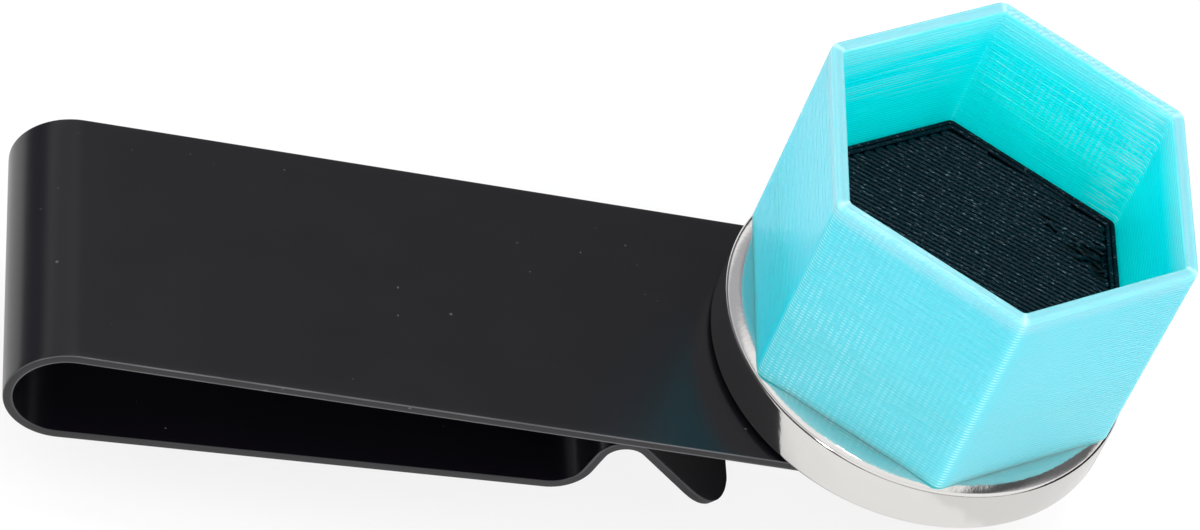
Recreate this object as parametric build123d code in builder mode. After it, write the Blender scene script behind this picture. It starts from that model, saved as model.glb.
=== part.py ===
"""Magnetic holder for a six-sided block of cue chalk, on a spring clip for a belt or a pocket edge.

Millimetres, +Z up. The clip's front plate lies level, facing up, with the clip's fold at -X and the
magnet and its cup at +X. The origin is under the middle of the whole holder, on the surface that the
clip's leaf stands on.
"""

import os
from math import cos, radians, sin, tan

from build123d import *

# The strip of spring steel that the clip is bent from
strip_width = 23.0
sheet = 0.76
leaf_taper = 0.45  # taken off each side of the leaf by the time it reaches its tip
strip_corner = 5.5  # rounding at both ends of the strip

# The clip's bends, seen from the side: radii are those of the outside of each bend
fold_radius = 4.7
leaf_rise = 3.3  # degrees, leaf towards plate
leaf_run = 38.7  # along the leaf, from the fold to the corner of the kink
kink_rise = 76.0  # degrees, step from the leaf up to the crest
kink_radius = 3.4
crest_radius = 2.4
flare_fall = 41.0  # degrees, from the crest down to the tip
crest_gap = 0.15  # crest to plate with the clip closed and empty

# The base magnet, and where it sits on the plate
magnet_diameter = 31.75
magnet_thickness = 4.7625
magnet_edge = 1.0  # rounded
fold_to_magnet = 68.6  # outside of the fold to the magnet's axis
plate_past_axis = 8.2  # the plate's end, beyond the magnet's axis

# The printed cup
cup_overhang = 0.06  # past the magnet's rim at each corner, before the corners are rounded
cup_wall = 1.0
cup_height = 19.5
cup_corner = 1.0  # upright corners outside
cup_inner_corner = 0.5  # upright corners inside
cup_turn = -2.4  # degrees that the cup stands turned from square
rim_round = 0.3
base_web = 0.6  # skin between the two magnets

# The magnet trapped in the cup's base, and the floor pressed in over it
cup_magnet_diameter = 19.05
cup_magnet_thickness = 4.7625
cup_magnet_edge = 0.5  # bevelled
magnet_play = 0.15  # round the trapped magnet
magnet_headroom = 0.04  # over it
insert_thickness = 1.8
insert_play = 0.05  # round the floor

# Places that follow from those sizes
overall_length = fold_to_magnet + magnet_diameter / 2
fold_x = -overall_length / 2
magnet_x = fold_x + fold_to_magnet
plate_end_x = magnet_x + plate_past_axis
plate_top = 2 * fold_radius
plate_middle = plate_top - sheet / 2
cup_base = plate_top + magnet_thickness
cup_across = (magnet_diameter + 2 * cup_overhang) * cos(radians(30))  # outside, across flats
insert_seat = cup_base + base_web + cup_magnet_thickness + magnet_headroom
cup_inside = cup_across - 2 * cup_wall

# Side view of the strip's middle surface: X and Z
fold_middle_radius = fold_radius - sheet / 2
fold_centre = Vector(fold_x + fold_radius, fold_radius)
leaf_start = fold_centre + fold_middle_radius * Vector(sin(radians(leaf_rise)), -cos(radians(leaf_rise)))
kink_corner = leaf_start + leaf_run * Vector(cos(radians(leaf_rise)), sin(radians(leaf_rise)))

crest_middle_radius = crest_radius - sheet / 2
crest_top = plate_top - sheet - crest_gap - sheet / 2
half_turn = radians(kink_rise + flare_fall) / 2
lean = radians(kink_rise - flare_fall) / 2
crest_corner_z = crest_top + crest_middle_radius * (cos(lean) / cos(half_turn) - 1)
crest_corner = Vector(kink_corner.X + (crest_corner_z - kink_corner.Y) / tan(radians(kink_rise)), crest_corner_z)

tip_z = sheet / 2 * cos(radians(flare_fall))
tip = Vector(crest_corner.X + (crest_corner_z - tip_z) / tan(radians(flare_fall)), tip_z)


def hexagon(across, corner):
    """A six-sided outline with flats towards +X and -X, turned as the cup stands, with rounded corners."""
    outline = RegularPolygon(across / 2, 6, major_radius=False, rotation=30 + cup_turn)
    fillet(outline.vertices(), radius=corner)


# Front plate: from its free end under the magnet back to the middle of the fold
with BuildPart() as clip_front_plate:
    with BuildSketch(Plane.XZ):
        with BuildLine():
            Line((plate_end_x, plate_middle), (fold_centre.X, plate_middle))
            CenterArc(fold_centre, fold_middle_radius, 90, 90)
        trace(line_width=sheet)
    extrude(amount=strip_width / 2, both=True)
    plate_end = clip_front_plate.faces().sort_by(Axis.X)[-1]
    fillet(plate_end.edges().filter_by(Axis.Z), radius=strip_corner)
clip_front_plate.part.label = "clip_front_plate"

# Spring leaf: from the middle of the fold along the back, over the kink and down the flare
with BuildPart() as clip_spring_leaf:
    with BuildSketch(Plane.XZ):
        with BuildLine():
            CenterArc(fold_centre, fold_middle_radius, 180, 90 + leaf_rise)
            FilletPolyline(
                leaf_start,
                kink_corner,
                crest_corner,
                tip,
                radius=[kink_radius - sheet / 2, crest_middle_radius],
            )
        trace(line_width=sheet)
    extrude(amount=strip_width / 2, both=True)
    with BuildSketch(Plane.XY):
        with BuildLine():
            Polyline(
                (fold_x, -strip_width / 2),
                (fold_centre.X, -strip_width / 2),
                (tip.X + sheet, leaf_taper - strip_width / 2),
                (tip.X + sheet, strip_width / 2 - leaf_taper),
                (fold_centre.X, strip_width / 2),
                (fold_x, strip_width / 2),
                close=True,
            )
        make_face()
    extrude(amount=plate_top, mode=Mode.INTERSECT)
    tip_face = clip_spring_leaf.faces().sort_by(Axis.X)[-1]
    fillet(tip_face.edges().filter_by(Axis.Y, reverse=True), radius=strip_corner)
clip_spring_leaf.part.label = "clip_spring_leaf"

# Base magnet: a plated disc with rounded edges, standing on the plate
with BuildPart() as base_magnet:
    with BuildSketch(Plane((magnet_x, 0, plate_top))):
        Circle(magnet_diameter / 2)
    extrude(amount=magnet_thickness)
    fillet(base_magnet.edges().filter_by(GeomType.CIRCLE), radius=magnet_edge)
base_magnet.part.label = "base_magnet"

# Cup: a six-sided print, open above, with a round pocket for its magnet under the floor's seat
with BuildPart() as cup_shell:
    with BuildSketch(Plane((magnet_x, 0, cup_base))):
        hexagon(cup_across, cup_corner)
    extrude(amount=cup_height)
    with BuildSketch(Plane((magnet_x, 0, insert_seat))):
        hexagon(cup_inside, cup_inner_corner)
    extrude(amount=cup_height, mode=Mode.SUBTRACT)
    with BuildSketch(Plane((magnet_x, 0, cup_base + base_web))):
        Circle(cup_magnet_diameter / 2 + magnet_play)
    extrude(amount=insert_seat - cup_base - base_web, mode=Mode.SUBTRACT)
    fillet(cup_shell.faces().sort_by(Axis.Z)[-1].edges(), radius=rim_round)
cup_shell.part.label = "cup_shell"

# Trapped magnet in the cup's base
with BuildPart() as cup_magnet:
    with BuildSketch(Plane((magnet_x, 0, cup_base + base_web))):
        Circle(cup_magnet_diameter / 2)
    extrude(amount=cup_magnet_thickness)
    chamfer(cup_magnet.edges().filter_by(GeomType.CIRCLE), length=cup_magnet_edge)
cup_magnet.part.label = "cup_magnet"

# Floor: pressed into the cup over the magnet, and what the chalk stands on
with BuildPart() as floor_insert:
    with BuildSketch(Plane((magnet_x, 0, insert_seat))):
        hexagon(cup_inside - 2 * insert_play, cup_inner_corner)
    extrude(amount=insert_thickness)
floor_insert.part.label = "floor_insert"

os.makedirs("parts", exist_ok=True)
for piece in (clip_front_plate, clip_spring_leaf, base_magnet, cup_shell, cup_magnet, floor_insert):
    export_step(piece.part, f"parts/{piece.part.label}.step")
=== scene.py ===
"""Looks of a magnetic chalk holder: a black spring clip, a plated disc magnet and a printed six-sided cup.

Metres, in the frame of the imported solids: +Z up, the clip's fold at -X, the magnet and its cup at +X.
"""

import math
import random

import bmesh
import bpy
from mathutils import Euler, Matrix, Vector, noise


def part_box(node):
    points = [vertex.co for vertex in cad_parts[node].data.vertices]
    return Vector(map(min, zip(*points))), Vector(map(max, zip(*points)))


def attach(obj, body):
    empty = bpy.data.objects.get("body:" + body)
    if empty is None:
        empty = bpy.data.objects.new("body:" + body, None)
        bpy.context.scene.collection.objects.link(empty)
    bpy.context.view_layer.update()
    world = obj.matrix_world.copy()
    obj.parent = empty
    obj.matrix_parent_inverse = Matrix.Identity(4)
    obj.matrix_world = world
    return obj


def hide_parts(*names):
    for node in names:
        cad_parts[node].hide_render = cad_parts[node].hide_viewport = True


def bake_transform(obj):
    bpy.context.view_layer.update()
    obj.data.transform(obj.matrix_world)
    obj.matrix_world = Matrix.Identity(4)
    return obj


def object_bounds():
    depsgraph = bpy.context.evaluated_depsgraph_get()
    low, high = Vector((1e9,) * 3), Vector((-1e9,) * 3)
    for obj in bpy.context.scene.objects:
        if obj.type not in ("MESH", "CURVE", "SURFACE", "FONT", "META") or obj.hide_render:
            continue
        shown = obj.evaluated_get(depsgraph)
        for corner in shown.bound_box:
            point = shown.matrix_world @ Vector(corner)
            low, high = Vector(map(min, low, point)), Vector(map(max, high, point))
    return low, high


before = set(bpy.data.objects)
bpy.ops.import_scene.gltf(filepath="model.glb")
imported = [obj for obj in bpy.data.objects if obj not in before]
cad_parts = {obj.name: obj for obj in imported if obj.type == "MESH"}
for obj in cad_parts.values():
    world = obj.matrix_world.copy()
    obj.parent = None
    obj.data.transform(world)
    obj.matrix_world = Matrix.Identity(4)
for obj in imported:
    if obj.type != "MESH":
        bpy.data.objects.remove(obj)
cad_low, cad_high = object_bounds()

MM = 0.001
dice = random.Random(7)

# Boxes of the solids that the pieces stand for
plate_low, plate_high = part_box("clip_front_plate")
leaf_low, leaf_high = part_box("clip_spring_leaf")
disc_low, disc_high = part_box("base_magnet")
cup_low, cup_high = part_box("cup_shell")
pocket_low, pocket_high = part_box("cup_magnet")
insert_low, insert_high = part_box("floor_insert")

# The clip's strip, and its bends seen from the side: radii are those of the outside of each bend
strip_width = plate_high.y - plate_low.y
sheet = 0.76 * MM
strip_edge = 0.1 * MM  # rounding along the strip's cut edges
strip_edge_steps = 5
strip_shear = 0.02 * MM  # how much narrower the strip's outer face is than its inner face
strip_corner = 5.5 * MM  # rounding at both ends of the strip
leaf_taper = 0.45 * MM  # taken off each side of the leaf by the time it reaches its tip
leaf_edge_paleness = 0.15  # of the leaf's edges, where those of the plate have 1
fold_radius = plate_high.z / 2
leaf_rise = math.radians(3.3)
leaf_run = 38.7 * MM
kink_rise = math.radians(76)
kink_radius = 3.4 * MM
crest_radius = 2.4 * MM
flare_fall = math.radians(41)
crest_gap = 0.15 * MM
seam_before_kink = 5 * MM  # where the lip's mesh takes over from the strip's, back along the leaf

# The disc magnet
disc_shoulder = 1.2 * MM  # across the gentle fall of the face towards its edge
disc_shoulder_fall = 25  # degrees, at the end of that fall
disc_edge = 0.4 * MM  # rounding beyond it
magnet_axis = (disc_low + disc_high) / 2
disc_radius = (disc_high.x - disc_low.x) / 2

# The printed cup and its floor
cup_overhang = 0.06 * MM  # past the magnet's rim at each corner, before the corners are rounded
cup_across = 2 * (disc_radius + cup_overhang) * math.cos(math.radians(30))
cup_wall = 1.0 * MM
cup_corner = 1.0 * MM
cup_inner_corner = 0.5 * MM
cup_turn = math.radians(-2.4)
magnet_play = 0.15 * MM
insert_play = 0.05 * MM
layer_height = 0.3 * MM
layer_groove = 0.035 * MM  # depth of the line between two layers
layer_stray = 0.003 * MM  # how far one layer may stand out from the next
rim_beads = 2
rim_groove = 0.025 * MM
ripple_pitch = 0.504 * MM  # of the faint upright waves on the walls
bead_pitch = 0.415 * MM  # of the lines on the floor
bead_height = 0.3 * MM
bead_direction = math.radians(-26)
floor_loops = 2  # lines round the floor's edge
scar_place = Vector((10.9, 2.75)) * MM  # from the magnet's axis, a spot where the floor's lines broke up
scar_reach = 1.7 * MM
scratch_ends = (Vector((7.3, 6)) * MM, Vector((11.5, 1)) * MM)  # a finer broken line that runs through it
scratch_reach = 0.55 * MM
scar_push = 0.24 * MM  # how far the lines are thrown about there

# The floor, with a dip under the leaf
floor_half = 1500 * MM
dip_depth = 7 * MM
dip_flat = 4 * MM  # past the leaf on every side
dip_slope = 20 * MM  # from there up to the level floor

# What the metal mirrors: a round white stand, a dark strip of table before it, and a long shadow on the stand
magnet_foot = Vector((magnet_axis.x, magnet_axis.y, 0))
stand_middle = magnet_foot + Vector((-10, 42, 0)) * MM
stand_radius = 90 * MM
strip_reach = 63 * MM
front_way = Vector((0.26, -0.966, 0))
left_way = Vector((-0.76, 0.65, 0))
shadow_middle = magnet_foot + Vector((16.6, 18.5, 0)) * MM
shadow_way = math.radians(39)
shadow_stretch = 3  # its length over its width
shadow_dark = 12 * MM  # across it, from its middle
shadow_clear = 18 * MM

# The photograph's camera, for an image 1200 pixels wide
camera_place = Vector((-106.79, -285.39, 334.10)) * MM
camera_angles = Euler([math.radians(a) for a in (41.1, -16.371, -2.657)])
focal_pixels = 5956.19
image_width = 1200


def make_object(name, points, faces, material, sharp_angle=math.radians(40)):
    """A smooth-shaded mesh object, with edges sharper than the given angle left sharp."""
    mesh = bpy.data.meshes.new(name)
    mesh.from_pydata(points, [], faces)
    shell = bmesh.new()
    shell.from_mesh(mesh)
    bmesh.ops.recalc_face_normals(shell, faces=shell.faces)
    shell.to_mesh(mesh)
    shell.free()
    mesh.shade_smooth()
    mesh.set_sharp_from_angle(angle=sharp_angle)
    mesh.materials.append(material)
    piece = bpy.data.objects.new(name, mesh)
    bpy.context.scene.collection.objects.link(piece)
    return piece


def skin(rings, first=0, closed=False):
    """Faces of a body through rings of equal length, numbered from the given point on.

    The last ring of a closed body joins its first. Any other body has a face at each end.
    """
    count = len(rings[0])
    last = first + (len(rings) - 1) * count
    faces = []
    for low in range(first, last + count if closed else last, count):
        high = first if low == last else low + count
        for j in range(count):
            k = (j + 1) % count
            faces.append((low + j, low + k, high + k, high + j))
    if not closed:
        faces.append(tuple(range(first + count - 1, first - 1, -1)))
        faces.append(tuple(range(last, last + count)))
    return faces


def all_points(rings):
    """The points of some rings, ring by ring."""
    return [p for ring in rings for p in ring]


def point_values(piece, name, values):
    """Keeps one number for each point of a mesh, for its material."""
    attribute = piece.data.attributes.new(name, "FLOAT", "POINT")
    attribute.data.foreach_set("value", values)


def strip_legs():
    """The side view of the clip's strip as legs, each a length and the angle it turns through."""
    fold_middle = fold_radius - sheet / 2
    kink_middle = kink_radius - sheet / 2
    crest_middle = crest_radius - sheet / 2
    half_turn = (kink_rise + flare_fall) / 2
    lean = (kink_rise - flare_fall) / 2
    plate_run = plate_high.x - (plate_low.x + fold_radius)
    leaf_foot = fold_radius - fold_middle * math.cos(leaf_rise)
    kink_z = leaf_foot + leaf_run * math.sin(leaf_rise)
    crest_z = plate_high.z - sheet - crest_gap - sheet / 2
    crest_corner_z = crest_z + crest_middle * (math.cos(lean) / math.cos(half_turn) - 1)
    tip_z = sheet / 2 * math.cos(flare_fall)
    kink_cut = kink_middle * math.tan((kink_rise - leaf_rise) / 2)
    crest_cut = crest_middle * math.tan(half_turn)
    step_run = (crest_corner_z - kink_z) / math.sin(kink_rise)
    flare_run = (crest_corner_z - tip_z) / math.sin(flare_fall)
    return [
        (plate_run, 0),
        (fold_middle * (math.pi + leaf_rise), math.pi + leaf_rise),
        (leaf_run - kink_cut - seam_before_kink, 0),
        (seam_before_kink, 0),
        (kink_middle * (kink_rise - leaf_rise), kink_rise - leaf_rise),
        (step_run - kink_cut - crest_cut, 0),
        (crest_middle * 2 * half_turn, -2 * half_turn),
        (flare_run - crest_cut, 0),
    ]


def on_strip(legs, distance):
    """Point and heading of the strip's middle line, in X and Z, at a distance from the plate's free end."""
    x, z = plate_high.x, plate_high.z - sheet / 2
    heading = math.pi
    for length, turn in legs:
        step = min(length, distance)
        if turn:
            curve = turn / length
            ahead = heading + curve * step
            x += (math.sin(ahead) - math.sin(heading)) / curve
            z -= (math.cos(ahead) - math.cos(heading)) / curve
            heading = ahead
        else:
            x += step * math.cos(heading)
            z += step * math.sin(heading)
        distance -= step
        if distance <= 0:
            break
    return x, z, heading


def strip_section(half_width, half_sheet):
    """Points round the strip's section, across and through it, with how much each lies on a rounded edge.

    The outer face, through it at the negative side, is narrower than the inner one and rolls over at its edges.
    """
    beside = 0.12 * MM  # how far in from its rounded edges the inner face has its first points
    pale_reach_up = 0.12 * MM  # how far the paleness of the inner edge reaches up the cut face
    flat_steps = 6
    sunk = (half_sheet - strip_edge) / 20  # what the outer face falls by at its edges
    # How far in from its edges the outer face has points, with what it has fallen by there
    rollover = ((0.8 * MM, 0.0), (0.6 * MM, sunk * 0.08), (0.4 * MM, sunk * 0.35), (0.22 * MM, sunk * 0.75))
    section = []
    for k, (side, face) in enumerate(((1, -1), (1, 1), (-1, 1), (-1, -1))):
        start = math.radians(90 * k - 90)
        edge_across = half_width - strip_edge - (strip_shear if face < 0 else 0.0)
        edge_through = half_sheet - strip_edge - (sunk if face < 0 else 0.0)
        inner_end = (side * half_width, half_sheet - strip_edge - pale_reach_up, 0.0)
        if (side, face) == (1, 1):
            section.append(inner_end)
        for j in range(strip_edge_steps + 1):
            turn = math.radians(90 * j / strip_edge_steps)
            across = side * edge_across + strip_edge * math.cos(start + turn)
            through = face * edge_through + strip_edge * math.sin(start + turn)
            if face < 0:
                pale_share = math.sin(2 * turn)
            else:
                pale_share = math.cos(turn) if side > 0 else math.sin(turn)
            section.append((across, through, pale_share))
        if (side, face) == (-1, 1):
            section.append(inner_end)
        if (side, face) == (1, 1):
            reach = edge_across - beside
            section += [(reach * (1 - 2 * j / flat_steps), half_sheet, 0.0) for j in range(flat_steps + 1)]
        if (side, face) == (-1, -1):
            outer = edge_across + strip_edge
            section += [(away - outer, drop - half_sheet, 0.0) for away, drop in reversed(rollover)]
            reach = outer - rollover[0][0]
            section += [(reach * (2 * j / flat_steps - 1), -half_sheet, 0.0) for j in range(1, flat_steps)]
            section += [(outer - away, drop - half_sheet, 0.0) for away, drop in rollover]
    return section


def strip_distances(legs, start, end):
    """Where sections stand between two distances: every few degrees on bends, and millimetres on runs."""
    turn_step = math.radians(3.5)
    run_step = 2.5 * MM
    painted_glints = {start, end}
    passed = 0.0
    for length, turn in legs:
        count = max(2, math.ceil(abs(turn) / turn_step if turn else length / run_step))
        painted_glints.update(passed + length * k / count for k in range(count + 1))
        passed += length
    return sorted(m for m in painted_glints if start <= m <= end)


def rounded_end(distance, radius):
    """How far a side draws in at a distance from an end that is rounded to a radius."""
    if distance >= radius:
        return 0.0
    return radius - math.sqrt(radius**2 - (radius - distance) ** 2)


def strip_piece(name, start, end, material):
    """One length of the clip's strip. An end that is also the strip's own end has rounded corners and edges."""
    legs = strip_legs()
    whole = sum(length for length, turn in legs)
    leaf_from = plate_low.x + fold_radius
    painted_glints = set(strip_distances(legs, start, end))
    corner_steps = 14
    for free_end, sign in ((0.0, 1), (whole, -1)):
        if free_end not in (start, end):
            continue
        for radius, steps in ((strip_corner, corner_steps), (strip_edge, strip_edge_steps)):
            turns = [math.pi / 2 * k / steps for k in range(steps + 1)]
            painted_glints.update(free_end + sign * radius * (1 - math.cos(turn)) for turn in turns)
    rings = []
    edge_paleness = []
    for mark in sorted(painted_glints):
        x, z, heading = on_strip(legs, mark)
        from_end = min(mark, whole - mark)
        draw_in = rounded_end(from_end, strip_edge)
        half_width = strip_width / 2 - rounded_end(from_end, strip_corner) - draw_in
        if math.cos(heading) > 0:
            half_width -= leaf_taper * max(0.0, x - leaf_from) / (leaf_high.x - leaf_from)
        # The edges are paler along their arrises: fully on the plate, only faintly on the leaf
        on_leaf = (1 + math.cos(heading)) / 2
        paleness_here = 1 - (1 - leaf_edge_paleness) * on_leaf
        ring = []
        for across, through, edge in strip_section(half_width, sheet / 2 - draw_in):
            ring.append(Vector((x - through * math.sin(heading), across, z + through * math.cos(heading))))
            edge_paleness.append(max(edge, draw_in / strip_edge) * paleness_here)
        rings.append(ring)
    piece = make_object(name, all_points(rings), skin(rings), material)
    point_values(piece, "edge_paleness", edge_paleness)
    return piece


def disc_piece(name, material):
    """The plated disc magnet, turned round its axis, with faces that fall a little towards rounded edges."""
    around = 256
    steps = 6
    beside = 0.15 * MM  # how far in from its shoulder a face has its first points
    fall = math.radians(disc_shoulder_fall)
    shoulder = disc_shoulder / math.sin(fall)
    flat = disc_radius - disc_shoulder - disc_edge * (1 - math.sin(fall))
    upper = [(flat / 2, 0.0), (flat - beside, 0.0)]
    for j in range(steps):
        a = fall * j / steps
        upper.append((flat + shoulder * math.sin(a), shoulder * (1 - math.cos(a))))
    edge_drop = shoulder * (1 - math.cos(fall)) + disc_edge * math.cos(fall)
    for j in range(steps + 1):
        a = fall + (math.pi / 2 - fall) * j / steps
        upper.append((disc_radius - disc_edge * (1 - math.sin(a)), edge_drop - disc_edge * math.cos(a)))
    profile = [(radius, disc_low.z + drop) for radius, drop in upper]
    profile += [(radius, disc_high.z - drop) for radius, drop in reversed(upper)]
    rings = []
    for radius, z in profile:
        ring = []
        for k in range(around):
            a = 2 * math.pi * k / around
            ring.append(Vector((magnet_axis.x + radius * math.cos(a), magnet_axis.y + radius * math.sin(a), z)))
        rings.append(ring)
    return make_object(name, all_points(rings), skin(rings), material)


def hexagon(across, corner, side_steps, corner_steps):
    """Points round a six-sided outline that is turned as the cup is, each with the way out from the wall."""
    reach = (across / 2 - corner) / math.cos(math.radians(30))
    corners = []
    for k in range(6):
        middle = math.radians(30 + 60 * k) + cup_turn
        centre = Vector((magnet_axis.x + reach * math.cos(middle), magnet_axis.y + reach * math.sin(middle), 0))
        arc = []
        for j in range(corner_steps + 1):
            a = middle + math.radians(60 * j / corner_steps - 30)
            out = Vector((math.cos(a), math.sin(a), 0))
            arc.append((centre + corner * out, out))
        corners.append(arc)
    outline = []
    for k, arc in enumerate(corners):
        start, out = arc[-1]
        end = corners[(k + 1) % 6][0][0]
        outline += arc
        outline += [(start.lerp(end, j / side_steps), out) for j in range(1, side_steps)]
    return outline


def layer_profile():
    """Heights within one printed layer, as shares of it, with how far the wall draws in there."""
    return [(t, layer_groove * abs(2 * t - 1) ** 3) for t in (0.0, 0.12, 0.35, 0.65, 0.88)]


def ridge_share(inward):
    """How far up a layer's ridge a point that draws in by a depth lies: 0 between layers, 1 on top."""
    return 1 - inward / layer_groove


def cup_outlines():
    """The cup's outlines outside and inside, point for point."""
    side_steps = 18
    corner_steps = 4
    outer = hexagon(cup_across, cup_corner, side_steps, corner_steps)
    inner = hexagon(cup_across - 2 * cup_wall, cup_inner_corner, side_steps, corner_steps)
    return outer, inner


def cup_rings():
    """Rings of the cup from under its base, up the outside, over the rim, and down into the magnet's pocket.

    Each comes with its share of the way through the wall, 0 outside and 1 inside, and with its ridge share.
    """
    outer, inner = cup_outlines()
    layers = round((cup_high.z - cup_low.z) / layer_height)
    stray = [dice.uniform(-1, 1) * layer_stray for layer in range(layers)]
    wander_length = 4 * MM
    layer_shift = 1.7  # between layers, in the noise that they wander by

    def ring(share, inward, z, layer):
        points = []
        for (p, out), (q, _) in zip(outer, inner):
            place = p.lerp(q, share)
            spot = Vector((place.x / wander_length, place.y / wander_length, layer * layer_shift))
            outward = stray[layer] + noise.noise(spot) * layer_stray - layer_stray * 2 - inward
            way = out if share < 0.5 else -out
            points.append(Vector((place.x, place.y, z)) + way * outward)
        return points

    rings = []
    for layer in range(layers - 1):
        for t, inward in layer_profile():
            outside = ring(0, inward, cup_low.z + (layer + t) * layer_height, layer)
            rings.append((outside, 0.0, ridge_share(inward)))
    top = layers - 1
    rim_start = cup_low.z + top * layer_height
    bead = 1 / rim_beads
    for k in range(rim_beads):
        for t in (0.0, 0.1, 0.3, 0.5, 0.7, 0.9):
            edge = max(0.0, abs((k + t) * bead - 0.5) * 2 - (1 - bead)) / bead
            drop = rim_groove * abs(2 * t - 1) ** 2 + (cup_high.z - rim_start) * (1 - math.sqrt(1 - edge**2))
            rings.append((ring((k + t) * bead, 0.0, cup_high.z - drop, top), (k + t) * bead, 1.0))
    rings.append((ring(1, 0.0, rim_start, top), 1.0, 1.0))
    seat_layers = (insert_low.z - cup_low.z) / layer_height
    for layer in range(layers - 2, math.ceil(seat_layers) - 1, -1):
        for t, inward in reversed(layer_profile()):
            inside = ring(1, inward, cup_low.z + (layer + t) * layer_height, layer)
            rings.append((inside, 1.0, ridge_share(inward)))
    pocket_radius = (pocket_high.x - pocket_low.x) / 2 + magnet_play
    centre = Vector((magnet_axis.x, magnet_axis.y, 0))
    rings.append(([Vector((p.x, p.y, insert_low.z)) for p, out in inner], 1.0, 1.0))
    for z in (insert_low.z, pocket_low.z):
        circle = [centre + (p - centre).normalized() * pocket_radius for p, out in inner]
        rings.append(([Vector((p.x, p.y, z)) for p in circle], 1.0, 1.0))
    return rings


def cup_piece(name, material):
    """The printed cup, with a ridge for each of its layers."""
    rings = cup_rings()
    bare_rings = [ring for ring, share, ridge in rings]
    piece = make_object(name, all_points(bare_rings), skin(bare_rings), material)
    angles = [math.radians(60 * k) + cup_turn for k in range(6)]
    flats = [Vector((math.cos(a), math.sin(a), 0)) for a in angles]
    rippled_flat, shaded_flat = flats[1], flats[3]
    shade_falls = 10  # how fast the painted shade of the clip-side wall ends round its corners
    corner = []
    ripple = []
    shade = []
    for p, out in cup_outlines()[0]:
        flat = max(out.dot(way) for way in flats)
        corner.append((1 - flat) / (1 - math.cos(math.radians(30))))
        ripple.append(1.0 if abs(out.dot(rippled_flat)) > 0.99 else 0.0)
        shade.append(max(0.0, 1 - shade_falls * (1 - out.dot(shaded_flat))))
    around = []
    shares = []
    ridges = []
    for ring, share, ridge in rings:
        run = 0.0
        for j, p in enumerate(ring):
            around.append(run)
            shares.append(share)
            ridges.append(ridge)
            run += (ring[(j + 1) % len(ring)] - p).length
    point_values(piece, "around", around)
    point_values(piece, "through_wall", shares)
    point_values(piece, "ridge", ridges)
    point_values(piece, "corner", corner * len(rings))
    point_values(piece, "ripple", ripple * len(rings))
    point_values(piece, "shade", shade * len(rings))
    return piece


def tube_rings(path, half_width, half_height, closed=False):
    """Rings of a flattened bead of plastic along a level path. Its width varies a little."""
    sides = 10
    swell_most = 0.07
    swell_length = 0.9 * MM
    turns = [2 * math.pi * j / sides for j in range(sides)]
    up = Vector((0, 0, half_height))
    rings = []
    count = len(path)
    for i, p in enumerate(path):
        before = path[(i - 1) % count] if closed else path[max(i - 1, 0)]
        after = path[(i + 1) % count] if closed else path[min(i + 1, count - 1)]
        ahead = (after - before).normalized()
        left = Vector((-ahead.y, ahead.x, 0))
        wide = half_width * (1 + swell_most * noise.noise(p / swell_length))
        rings.append([p + left * (wide * math.cos(a)) + up * math.sin(a) for a in turns])
    return rings


def rounded_path(corners, cut_most, steps=4):
    """A path through corner points with each corner cut to a short curve."""
    leg_share = 0.48  # of the way to the next corner, that a cut may take
    path = [corners[0]]
    for before, corner, after in zip(corners, corners[1:], corners[2:]):
        cut = min(cut_most, leg_share * (before - corner).length, leg_share * (after - corner).length)
        start = corner + (before - corner).normalized() * cut
        end = corner + (after - corner).normalized() * cut
        for j in range(steps + 1):
            t = j / steps
            path.append(start * (1 - t) ** 2 + corner * 2 * t * (1 - t) + end * t**2)
    path.append(corners[-1])
    return path


def infill_corners(half_across):
    """Corner points of the one line that is laid to and fro over the floor, inside a six-sided outline."""
    along = Vector((math.cos(bead_direction), math.sin(bead_direction)))
    over = Vector((-along.y, along.x))
    centre = Vector((magnet_axis.x, magnet_axis.y))
    corners = []
    reach = math.floor(half_across / math.cos(math.radians(30)) / bead_pitch)
    forward = True
    for k in range(-reach, reach + 1):
        shift = k * bead_pitch
        low, high = -2 * half_across, 2 * half_across
        for side in range(6):
            out = math.radians(60 * side) + cup_turn - bead_direction
            limit = half_across - shift * math.sin(out)
            if math.cos(out) > 0:
                high = min(high, limit / math.cos(out))
            else:
                low = max(low, limit / math.cos(out))
        if high - low < bead_pitch:
            continue
        ends = (low, high) if forward else (high, low)
        corners += [centre + along * end + over * shift for end in ends]
        forward = not forward
    return [Vector((p.x, p.y, 0)) for p in corners]


def divided(path, step):
    """The same path with points no further apart than a step."""
    fine = []
    for p, q in zip(path, path[1:]):
        count = max(1, round((q - p).length / step))
        fine += [p.lerp(q, j / count) for j in range(count)]
    return fine + [path[-1]]


def scarred(path):
    """The floor's line with the spot and the finer scratch where it broke up."""
    centre = Vector((magnet_axis.x, magnet_axis.y))
    start, end = (centre + p for p in scratch_ends)
    run = end - start
    rough = []
    for p in path:
        place = Vector((p.x, p.y))
        share = min(1.0, max(0.0, (place - start).dot(run) / run.length_squared))
        spot = 2 - 2 * (place - centre - scar_place).length / scar_reach
        scratch = 1 - (place - start - run * share).length / scratch_reach
        push = Vector((dice.uniform(-1, 1), dice.uniform(-1, 1), dice.uniform(-1.2, 0.4)))  # more down than up
        rough.append(p + push * min(1.0, max(0.0, spot, scratch)) * scar_push)
    return rough


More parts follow.
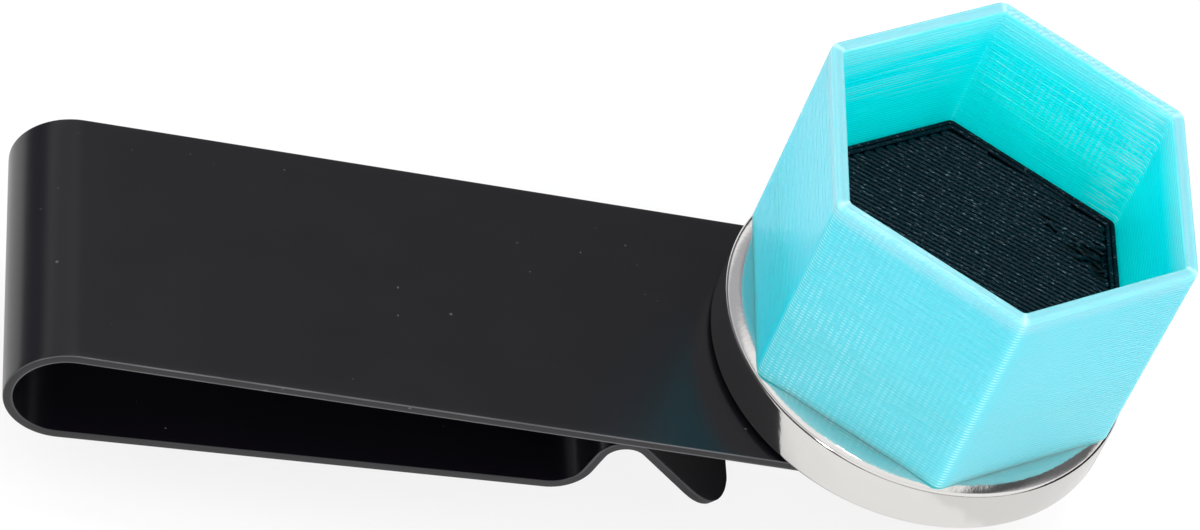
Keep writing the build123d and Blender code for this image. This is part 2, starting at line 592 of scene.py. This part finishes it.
def floor_piece(name, material):
    """The printed floor: a slab, lines round its edge, and one line laid to and fro inside them."""
    half = cup_across / 2 - cup_wall - insert_play
    half_bead = bead_pitch / 2
    bead_wide = half_bead * 0.95  # half of what a line is wide, short of touching the next
    bead_z = insert_high.z - bead_height / 2
    slab_top = insert_high.z - bead_height * 0.9
    corner_least = 0.2 * MM
    infill_cut = bead_pitch * 0.48
    infill_step = 0.5 * MM

    def outline(inset, corner, z, side_steps, corner_steps=8):
        around = hexagon(2 * (half - inset), corner, side_steps, corner_steps)
        return [Vector((p.x, p.y, z)) for p, out in around]

    slab = [outline(half_bead, cup_inner_corner, z, 4, 6) for z in (insert_low.z, slab_top)]
    layers = round((insert_high.z - insert_low.z) / bead_height)
    loops = [outline(half_bead, cup_inner_corner, bead_z - k * bead_height, 12) for k in range(1, layers)]
    for k in range(floor_loops):
        inset = half_bead + k * bead_pitch
        loops.append(outline(inset, max(cup_inner_corner - inset * 0.3, corner_least), bead_z, 24))
    infill_half = half - floor_loops * bead_pitch - half_bead
    infill = rounded_path(infill_corners(infill_half), infill_cut)
    infill = [p + Vector((0, 0, bead_z)) for p in scarred(divided(infill, infill_step))]
    points = all_points(slab)
    faces = skin(slab)
    for path, closed in [(loop, True) for loop in loops] + [(infill, False)]:
        rings = tube_rings(path, bead_wide, bead_height / 2, closed)
        faces += skin(rings, len(points), closed)
        points += all_points(rings)
    return make_object(name, points, faces, material, sharp_angle=math.radians(70))


def feed(tree, made, inputs):
    """Gives a node its inputs. One given as a socket is linked, and any other is set."""
    for name, value in inputs.items():
        if isinstance(value, bpy.types.NodeSocket):
            tree.links.new(value, made.inputs[name])
        else:
            made.inputs[name].default_value = value


def node(tree, kind, inputs=None, **settings):
    """A shader node with its settings and inputs."""
    made = tree.nodes.new(kind)
    for name, value in settings.items():
        setattr(made, name, value)
    feed(tree, made, inputs or {})
    return made


def new_material(name):
    """A material with its tree, its surface shader and the piece's own coordinates."""
    material = bpy.data.materials.new(name)
    material.use_nodes = True
    tree = material.node_tree
    place = node(tree, "ShaderNodeTexCoord").outputs["Object"]
    return material, tree, tree.nodes["Principled BSDF"], place


def grey(level):
    """A colour without hue."""
    return (level, level, level, 1)


def rise_of(degrees):
    """How far up a direction of length 1 goes at an angle over the horizon."""
    return math.sin(math.radians(degrees))


def kept_value(tree, name):
    """One of the numbers that a mesh keeps for each of its points."""
    return node(tree, "ShaderNodeAttribute", attribute_name=name).outputs["Fac"]


def coordinate(tree, vector, axis):
    """One coordinate of a vector."""
    return node(tree, "ShaderNodeSeparateXYZ", {0: vector}).outputs[axis]


def turned(tree, vector, angle):
    """A vector turned round the upright axis."""
    inputs = {"Vector": vector, "Angle": angle}
    return node(tree, "ShaderNodeVectorRotate", inputs, rotation_type="Z_AXIS").outputs["Vector"]


def stretched(tree, place, sizes):
    """Coordinates scaled so that one unit is the given size along each axis."""
    inputs = {"Vector": place, "Scale": [1 / size for size in sizes]}
    return node(tree, "ShaderNodeMapping", inputs).outputs["Vector"]


def grain(tree, place, sizes, detail=2.0, roughness=0.5):
    """Soft noise from 0 to 1, with features of about the given size along each axis."""
    inputs = {"Vector": stretched(tree, place, sizes), "Scale": 1.0, "Detail": detail, "Roughness": roughness}
    return node(tree, "ShaderNodeTexNoise", inputs).outputs["Fac"]


def even_grain(tree, place, size, detail=2.0, roughness=0.5):
    """Soft noise from 0 to 1, with features of about one size every way."""
    return grain(tree, place, (size, size, size), detail, roughness)


def spread(tree, value, low, high, to_low=0.0, to_high=1.0):
    """A value mapped smoothly from one range to another and held at its ends."""
    inputs = {"Value": value, "From Min": low, "From Max": high, "To Min": to_low, "To Max": to_high}
    return node(tree, "ShaderNodeMapRange", inputs, interpolation_type="SMOOTHSTEP").outputs["Result"]


def sums(tree, operation, first, second=0.0):
    """One step of arithmetic on two values."""
    return node(tree, "ShaderNodeMath", {0: first, 1: second}, operation=operation).outputs[0]


def product(tree, first, *others):
    """The product of some values."""
    for other in others:
        first = sums(tree, "MULTIPLY", first, other)
    return first


def greatest(tree, first, *others):
    """The greatest of some values."""
    for other in others:
        first = sums(tree, "MAXIMUM", first, other)
    return first


def vector_sums(tree, operation, *vectors):
    """One step of arithmetic on vectors. The operation settles if its result is a value or a vector."""
    made = node(tree, "ShaderNodeVectorMath", dict(enumerate(vectors)), operation=operation)
    gives_value = operation in ("LENGTH", "DISTANCE", "DOT_PRODUCT")
    return made.outputs["Value" if gives_value else "Vector"]


def mixed(tree, share, first, second):
    """A colour between two colours."""
    return node(tree, "ShaderNodeMix", {0: share, 6: first, 7: second}, data_type="RGBA").outputs[2]


def mixed_value(tree, share, first, second):
    """A value between two values."""
    return node(tree, "ShaderNodeMix", {0: share, 2: first, 3: second}).outputs[0]


def bumped(tree, height, distance):
    """Surface relief, with the distance that a height of 1 stands for."""
    return node(tree, "ShaderNodeBump", {"Height": height, "Distance": distance}).outputs["Normal"]


def add_glow(tree, shader, share, colour):
    """Mixes a share of plain light of a colour over a surface."""
    glow = node(tree, "ShaderNodeEmission", {"Color": colour}).outputs[0]
    surface = node(tree, "ShaderNodeMixShader", {0: share, 1: shader.outputs[0], 2: glow}).outputs[0]
    feed(tree, tree.nodes["Material Output"], {"Surface": surface})


def black_coat():
    """Satin black coat on spring steel: fine grain along the strip, a little dust, and paler edges, faint on the
    leaf.
    """
    coat_tones = (0.0024, 0.0019, 0.0036, 1), (0.0033, 0.0027, 0.0047, 1)
    pale_edge_tone = (0.1, 0.1, 0.108, 1)
    dust_tone = (0.11, 0.11, 0.12, 1)
    dust_share = 0.5
    relief_height = 0.0003 * MM
    material, tree, shader, place = new_material("black_coat")
    along = grain(tree, place, (9 * MM, 0.16 * MM, 0.16 * MM), 3.0)
    cloud = grain(tree, place, (7 * MM, 5 * MM, 5 * MM))
    fine = even_grain(tree, place, 0.09 * MM, 1.0)
    speck = even_grain(tree, place, 0.45 * MM, 0.0)
    # The edges turn paler along their arrises, faintly so on the leaf
    pale_share = product(tree, kept_value(tree, "edge_paleness"), spread(tree, cloud, 0.25, 0.7, 0.5, 1.0))
    colour = mixed(tree, pale_share, mixed(tree, cloud, *coat_tones), pale_edge_tone)
    brushed = spread(tree, along, 0.3, 0.7, 0.245, 0.265)
    clouded = spread(tree, cloud, 0.3, 0.7, -0.006, 0.006)
    look = {
        "Base Color": mixed(tree, spread(tree, speck, 0.86, 0.9, 0.0, dust_share), colour, dust_tone),
        "Roughness": sums(tree, "ADD", brushed, clouded),
        "Normal": bumped(tree, sums(tree, "ADD", along, fine), relief_height),
    }
    feed(tree, shader, look)
    return material


def nickel_plate():
    """Bright nickel plate with a slight orange-peel ripple, wider shallow dents and faint haze."""
    plate_tones = (0.69, 0.675, 0.655, 1), (0.745, 0.735, 0.715, 1)
    peel_height = 0.006 * MM
    dent_height = 3.5  # times that of the peel
    material, tree, shader, place = new_material("nickel_plate")
    peel = even_grain(tree, place, 0.28 * MM)
    dents = even_grain(tree, place, 1.4 * MM, 1.0)
    haze = even_grain(tree, place, 4 * MM, 3.0)
    relief = sums(tree, "ADD", peel, product(tree, dents, dent_height))
    look = {
        "Base Color": mixed(tree, haze, *plate_tones),
        "Metallic": 1.0,
        "Roughness": spread(tree, haze, 0.3, 0.7, 0.08, 0.13),
        "Normal": bumped(tree, relief, peel_height),
    }
    feed(tree, shader, look)
    return material


def cyan_print():
    """Printed cyan plastic that lets light through, with a painted highlight on its rim, painted glints on its
    corners and ridges, and painted light and shade on its walls.

    The run round the wall starts at the corner between the walls at +X and at the far right, and goes on along
    the far right, far left, clip-side, front left and front right walls. Each side is about 16 mm long.
    """
    rim_highlight_tone = (0.225, 0.5, 0.565, 1)
    # The outside of the one plastic is painted paler than its inside, a painted sheen
    outer_tone = (0.1, 0.575, 0.67, 1)
    front_right_lit_tone = (0.168, 0.585, 0.67, 1)
    clip_side_shade_tones = (0.0, 0.645, 0.81, 1), (0.147, 0.635, 0.745, 1)  # low and high on it: painted shade, deepest at its foot by the clip
    outer_top_highlight_tone = (0.245, 0.585, 0.665, 1)
    inner_lit_tones = (0.0, 0.94, 1.0, 1), (0.0, 0.83, 0.94, 1)  # low and high on it: painted light, brightest deep down, for light shining through the wall
    inner_top_lit_tone = (0.23, 0.79, 0.88, 1)
    groove_shade_tone = (0.0, 0.48, 0.6, 1)
    painted_glint_tone = (0.75, 1.0, 1.0, 1)
    wave_height = 0.012 * MM
    material, tree, shader, place = new_material("cyan_print")
    around = kept_value(tree, "around")
    through = kept_value(tree, "through_wall")
    ridge = kept_value(tree, "ridge")
    ripple = kept_value(tree, "ripple")
    height = coordinate(tree, place, "Z")
    wall = node(tree, "ShaderNodeCombineXYZ", {"X": around, "Y": height, "Z": through}).outputs[0]
    inside = spread(tree, through, 0.85, 1.0)

    def wall_grain(length, rise, detail, roughness=0.5):
        """Soft noise with features of a length round the wall and a height up it, another on each face."""
        return grain(tree, wall, (length, rise, 0.3), detail, roughness)

    def by_run(start, end, low=0.0, high=1.0):
        """A value that changes between two places on the run round the wall, in millimetres."""
        return spread(tree, around, start * MM, end * MM, low, high)

    def by_depth(deep, shallow, high=1.0):
        """A value that grows from 0 between two depths under the rim, in millimetres."""
        return spread(tree, height, cup_high.z - deep * MM, cup_high.z - shallow * MM, 0.0, high)

    # The tones of the walls and of the rim, with painted light and shade, and painted shade in the lines between
    # layers
    streak = wall_grain(14 * MM, 2 * layer_height, 1.0)
    outer = mixed(tree, spread(tree, streak, 0.3, 0.7, 0.0, 0.05), outer_tone, rim_highlight_tone)
    # Painted light: the front right wall and the one at +X are painted paler, for light from the right
    outer = mixed(tree, by_run(62, 66), outer, front_right_lit_tone)
    # Painted shade on the clip-side wall, deeper towards its foot, where the clip's shade and dark reflection
    # fall
    pale = greatest(tree, sums(tree, "SUBTRACT", by_depth(16, 1.5), by_run(33, 47, 0.0, 0.2)), 0.0)
    outer = mixed(tree, kept_value(tree, "shade"), outer, mixed(tree, pale, *clip_side_shade_tones))
    # Painted highlight along the top of the outside
    outer = mixed(tree, by_depth(1.9, 0.7), outer, outer_top_highlight_tone)
    # Painted light inside: brighter and deeper cyan than the outside, brightest deep down, for light shining
    # through the wall, and paler just under the rim
    inner = mixed(tree, by_depth(9.5, 4), *inner_lit_tones)
    inner = mixed(tree, by_depth(3.6, 0.2), inner, inner_top_lit_tone)
    on_rim = product(tree, spread(tree, through, 0.0, 0.1), spread(tree, through, 0.9, 1.0, 1.0, 0.0))
    # Painted highlight on the rim
    colour = mixed(tree, on_rim, mixed(tree, inside, outer, inner), rim_highlight_tone)
    # Painted shade in the lines between layers, lighter inside
    groove_shade_share = spread(tree, through, 0.85, 1.0, 0.25, 0.1)
    groove_shade = product(tree, spread(tree, ridge, 0.2, 1.0, 1.0, 0.0), groove_shade_share)
    colour = mixed(tree, groove_shade, colour, groove_shade_tone)

    # Painted glints: pale dashes where the upright waves cross the ridges, on the front left wall outside and
    # the far right wall inside, which face the light from the front left
    patch = wall_grain(3 * MM, 3.5 * MM, 2.0)
    wave = sums(tree, "SINE", product(tree, around, 2 * math.pi / ripple_pitch))
    chance = wall_grain(0.8 * ripple_pitch, 5 * layer_height, 3.0, 0.6)
    dash = product(tree, spread(tree, wave, -0.5, 0.3), spread(tree, chance, 0.36, 0.56))
    dash = product(tree, dash, ripple, spread(tree, patch, 0.3, 0.65, 0.35, 1.0))
    outer_share = sums(tree, "SUBTRACT", by_run(48, 62, 0.34, 0.14), by_depth(13, 3, 0.12))
    inner_share = sums(tree, "SUBTRACT", by_depth(10, 6, 0.6), by_depth(4.5, 1.5, 0.45))
    inner_share = product(tree, inner_share, by_run(3, 12, 1.0, 0.25))
    dash = product(tree, dash, mixed_value(tree, inside, outer_share, inner_share))

    # Painted glints: pale lines along the ridges inside, by one corner and on the far left wall, and pale ridges
    # on the corners
    short_run = wall_grain(2.2 * MM, layer_height, 2.0)
    long_run = wall_grain(9 * MM, layer_height, 1.0)
    by_corner = product(tree, spread(tree, short_run, 0.42, 0.55), by_run(1.6, 4, 0.6, 0.0))
    far_left = sums(tree, "SUBTRACT", by_run(15, 18, 0.0, 0.3), by_run(30, 32, 0.0, 0.3))
    far_lines = product(tree, spread(tree, long_run, 0.4, 0.62), far_left, by_depth(9, 5))
    lines = product(tree, greatest(tree, by_corner, far_lines), inside)
    comb = product(tree, kept_value(tree, "corner"), mixed_value(tree, inside, 0.4, 0.1))
    painted_glints = product(tree, greatest(tree, dash, lines, comb), spread(tree, ridge, 0.85, 0.97))

    relief = product(tree, wave, ripple, spread(tree, patch, 0.35, 0.65, 0.3, 1.0))
    look = {
        "Base Color": mixed(tree, painted_glints, colour, painted_glint_tone),
        "Roughness": spread(tree, patch, 0.3, 0.7, 0.16, 0.22),
        "Normal": bumped(tree, relief, wave_height),
        "Specular IOR Level": 0.75,
        "Subsurface Weight": 1.0,
        "Subsurface Radius": (0.25, 1.0, 1.0),
        "Subsurface Scale": 2.2 * MM,
    }
    feed(tree, shader, look)
    return material


def black_print():
    """Printed black plastic with painted broken glints along its lines and painted shade between them."""
    line_tones = (0.001, 0.009, 0.015, 1), (0.0018, 0.013, 0.021, 1)
    between_lines_shade_tone = (0.0003, 0.003, 0.005, 1)
    glint_tone = (0.125, 0.16, 0.18, 1)
    line_top = 0.13 * MM  # how far down a line counts as its top
    crumb_height = 0.018 * MM
    material, tree, shader, place = new_material("black_print")
    crumbs = even_grain(tree, place, 0.3 * MM, 3.0, 0.6)
    patch = even_grain(tree, place, 2.5 * MM)
    fleck = grain(tree, turned(tree, place, -bead_direction), (0.36 * MM, 0.1 * MM, 0.3 * MM), 1.0)
    # Painted shade: darker between the lines, by height
    top = spread(tree, coordinate(tree, place, "Z"), insert_high.z - line_top, insert_high.z)
    colour = mixed(tree, top, between_lines_shade_tone, mixed(tree, patch, *line_tones))
    # Painted glints: pale flecks on the tops of the lines
    look = {
        "Base Color": mixed(tree, product(tree, spread(tree, fleck, 0.62, 0.74), top), colour, glint_tone),
        "Roughness": spread(tree, crumbs, 0.35, 0.65, 0.16, 0.3),
        "Normal": bumped(tree, crumbs, crumb_height),
        "Specular IOR Level": 0.08,
    }
    feed(tree, shader, look)
    return material


def floor_level(x, y):
    """Height of the floor at a place: level, but for a dip under the leaf that leaves it room to open."""
    aside = max(leaf_low.x - x, x - leaf_high.x, 0.0)
    beyond = max(abs(y) - strip_width / 2, 0.0)
    share = min(1.0, max(0.0, (math.hypot(aside, beyond) - dip_flat) / dip_slope))
    return -dip_depth * (1 - share * share * (3 - 2 * share))


def floor_sheet():
    """A plain pale floor, white to the camera, with the holder's soft shadow."""
    step = 2 * MM
    white_share = 0.8  # of what the camera sees; the rest is the lit floor
    reach = dip_flat + dip_slope
    middle = (leaf_low + leaf_high) / 2
    columns = math.ceil(((leaf_high.x - leaf_low.x) / 2 + reach) / step)
    rows = math.ceil((strip_width / 2 + reach) / step)
    xs = [-floor_half] + [middle.x + k * step for k in range(-columns, columns + 1)] + [floor_half]
    ys = [-floor_half] + [k * step for k in range(-rows, rows + 1)] + [floor_half]
    points = [Vector((x, y, floor_level(x, y))) for x in xs for y in ys]
    count = len(ys)
    faces = []
    for i in range(len(xs) - 1):
        for low in range(i * count, i * count + count - 1):
            faces.append((low, low + count, low + count + 1, low + 1))
    material, tree, shader, place = new_material("pale_floor")
    cloud = even_grain(tree, place, 0.25, 1.0)
    feed(tree, shader, {"Base Color": mixed(tree, cloud, grey(0.86), grey(0.9)), "Roughness": 0.8})
    path = node(tree, "ShaderNodeLightPath").outputs
    seen = greatest(tree, path["Is Camera Ray"], path["Is Transmission Ray"])
    add_glow(tree, shader, product(tree, seen, white_share), grey(1))
    floor = make_object("floor", points, faces, material)
    floor.visible_glossy = False


def mirrored_sheet():
    """What the metal mirrors below it: a level round white stand on a dark table."""
    blur = 2 * MM  # to each side of an edge
    stand_glow = 0.6  # share of plain light on the stand; the table is all plain light
    table_tones = (0.25, 0.25, 0.28, 1), grey(0.02)  # at the left and in front
    material, tree, shader, place = new_material("mirrored_stand")
    in_shadow = turned(tree, vector_sums(tree, "SUBTRACT", place, shadow_middle), -shadow_way)
    in_shadow = vector_sums(tree, "LENGTH", stretched(tree, in_shadow, (shadow_stretch, 1, 1)))
    clear = spread(tree, in_shadow, shadow_dark, shadow_clear)
    feed(tree, shader, {"Base Color": mixed(tree, clear, grey(0.085), grey(0.76)), "Roughness": 0.8})
    stand = mixed(tree, clear, grey(0.03), grey(1))
    from_middle = vector_sums(tree, "DISTANCE", place, stand_middle)
    off_stand = spread(tree, from_middle, stand_radius - blur, stand_radius + blur)
    outward = vector_sums(tree, "SUBTRACT", place, magnet_foot)
    reach = vector_sums(tree, "LENGTH", outward)
    front = vector_sums(tree, "DOT_PRODUCT", vector_sums(tree, "NORMALIZE", outward), front_way)
    past_strip = spread(tree, reach, strip_reach - blur, strip_reach + blur)
    white_again = product(tree, spread(tree, front, 0.78, 0.9), past_strip)
    dark = greatest(tree, sums(tree, "SUBTRACT", off_stand, white_again), 0.0)
    table = mixed(tree, spread(tree, coordinate(tree, place, "X"), -90 * MM, -60 * MM), *table_tones)
    add_glow(tree, shader, greatest(tree, dark, stand_glow), mixed(tree, dark, stand, table))
    corners = [Vector((x, y, 0)) * floor_half for x, y in ((-1, -1), (1, -1), (1, 1), (-1, 1))]
    mirrored = make_object("mirrored_stand", corners, [(0, 1, 2, 3)], material)
    mirrored.visible_camera = False
    mirrored.visible_diffuse = False
    mirrored.visible_transmission = False
    mirrored.visible_shadow = False
    mirrored.visible_volume_scatter = False


def studio_world():
    """A white tent, brightest overhead. To reflections it is dim above and behind, with a dark gap below."""
    wall_tone = grey(1.1)
    back_tones = (0.52, 0.52, 0.55, 1), (0.16, 0.16, 0.17, 1)  # and where the tent is open
    hood_tone = (0.08, 0.08, 0.085, 1)
    gap_tone = grey(0.02)
    left_tone = (0.2, 0.2, 0.225, 1)
    light_tones = grey(1.13), grey(1.46)  # and from the right
    open_way = Vector((0.55, 0.5, 0.67)).normalized()
    right_way = Vector((0.6, -0.75, 0.2)).normalized()
    world = bpy.data.worlds.new("studio")
    bpy.context.scene.world = world
    world.use_nodes = True
    tree = world.node_tree
    way = node(tree, "ShaderNodeTexCoord").outputs["Generated"]
    rise = coordinate(tree, way, "Z")
    heading = vector_sums(tree, "NORMALIZE", vector_sums(tree, "MULTIPLY", way, (1, 1, 0)))
    front = vector_sums(tree, "DOT_PRODUCT", heading, front_way)
    left = vector_sums(tree, "DOT_PRODUCT", heading, left_way)

    # What reflections see: the tent's wall, its back above it, overhead, the gap at the foot, and the left
    wall_top = spread(tree, front, 0.3, 0.85, rise_of(34), rise_of(52))
    above = spread(tree, sums(tree, "SUBTRACT", rise, wall_top), -0.08, 0.08)
    from_open = vector_sums(tree, "DOT_PRODUCT", way, open_way)
    opened = spread(tree, from_open, math.cos(math.radians(37)), math.cos(math.radians(15)))
    mirrored = mixed(tree, above, wall_tone, mixed(tree, opened, *back_tones))
    overhead = product(tree, spread(tree, rise, rise_of(51), rise_of(60)), above)
    over_right = spread(tree, coordinate(tree, way, "X"), 0.33, 0.42)
    mirrored = mixed(tree, overhead, mirrored, mixed(tree, over_right, wall_tone, hood_tone))
    gap_top = spread(tree, front, 0.45, 0.85, rise_of(22), rise_of(-6))
    foot = spread(tree, sums(tree, "SUBTRACT", rise, gap_top), -0.04, 0.04, 1.0, 0.0)
    mirrored = mixed(tree, foot, mirrored, gap_tone)
    aside = product(tree, spread(tree, left, 0.82, 0.95), spread(tree, rise, 0.36, 0.55, 1.0, 0.0))
    mirrored = mixed(tree, aside, mirrored, left_tone)

    # What lights the rest
    right = vector_sums(tree, "DOT_PRODUCT", way, right_way)
    soft = mixed(tree, spread(tree, right, 0.1, 0.9), *light_tones)
    brighter = spread(tree, rise, 0.15, 0.95, 0.92, 1.32)
    soft = node(tree, "ShaderNodeVectorMath", {0: soft, "Scale": brighter}, operation="SCALE").outputs["Vector"]
    glossy = node(tree, "ShaderNodeLightPath").outputs["Is Glossy Ray"]
    feed(tree, tree.nodes["Background"], {"Color": mixed(tree, glossy, soft, mirrored)})


def soft_box(name, way, away, size, watts):
    """A square lamp that looks at the holder from a direction."""
    centre = (cad_low + cad_high) / 2
    lamp = bpy.data.lights.new(name, "AREA")
    lamp.size = size
    lamp.energy = watts
    box = bpy.data.objects.new(name, lamp)
    box.location = centre + Vector(way).normalized() * away
    box.rotation_euler = (-Vector(way)).to_track_quat("-Z", "Y").to_euler()
    bpy.context.scene.collection.objects.link(box)


def camera():
    """The photograph's view."""
    lens = bpy.data.cameras.new("camera")
    lens.sensor_width = 36
    lens.lens = lens.sensor_width * focal_pixels / image_width
    eye = bpy.data.objects.new("camera", lens)
    eye.location = camera_place
    eye.rotation_euler = camera_angles
    bpy.context.scene.collection.objects.link(eye)
    bpy.context.scene.camera = eye


# The clip: one strip, bent round at the fold between its two bodies, and its lip, which moves with the leaf
coat = black_coat()
legs = strip_legs()
whole_strip = sum(length for length, turn in legs)
seam = sum(length for length, turn in legs[:3])
strip = strip_piece("clip_strip", 0.0, seam, coat)
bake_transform(strip)
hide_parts("clip_front_plate")
lip = strip_piece("clip_lip", seam, whole_strip, coat)
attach(lip, "leaf")
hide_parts("clip_spring_leaf")

# The magnets
plate = nickel_plate()
disc = disc_piece("magnet_disc", plate)
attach(disc, "clip")
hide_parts("base_magnet")
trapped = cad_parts["cup_magnet"]
trapped.data.materials.clear()
trapped.data.materials.append(plate)

# The printed cup and its floor
cup = cup_piece("cup_print", cyan_print())
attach(cup, "cup")
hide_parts("cup_shell")
inside_floor = floor_piece("floor_print", black_print())
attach(inside_floor, "cup")
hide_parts("floor_insert")

# Surroundings
floor_sheet()
mirrored_sheet()
studio_world()
soft_box("front_left_box", way=(-0.63, -0.72, 0.35), away=0.7, size=0.06, watts=0.5)
soft_box("top_box", way=(0.05, 0.1, 1), away=0.8, size=0.06, watts=0.8)
camera()
bpy.context.scene.view_settings.view_transform = "Standard"
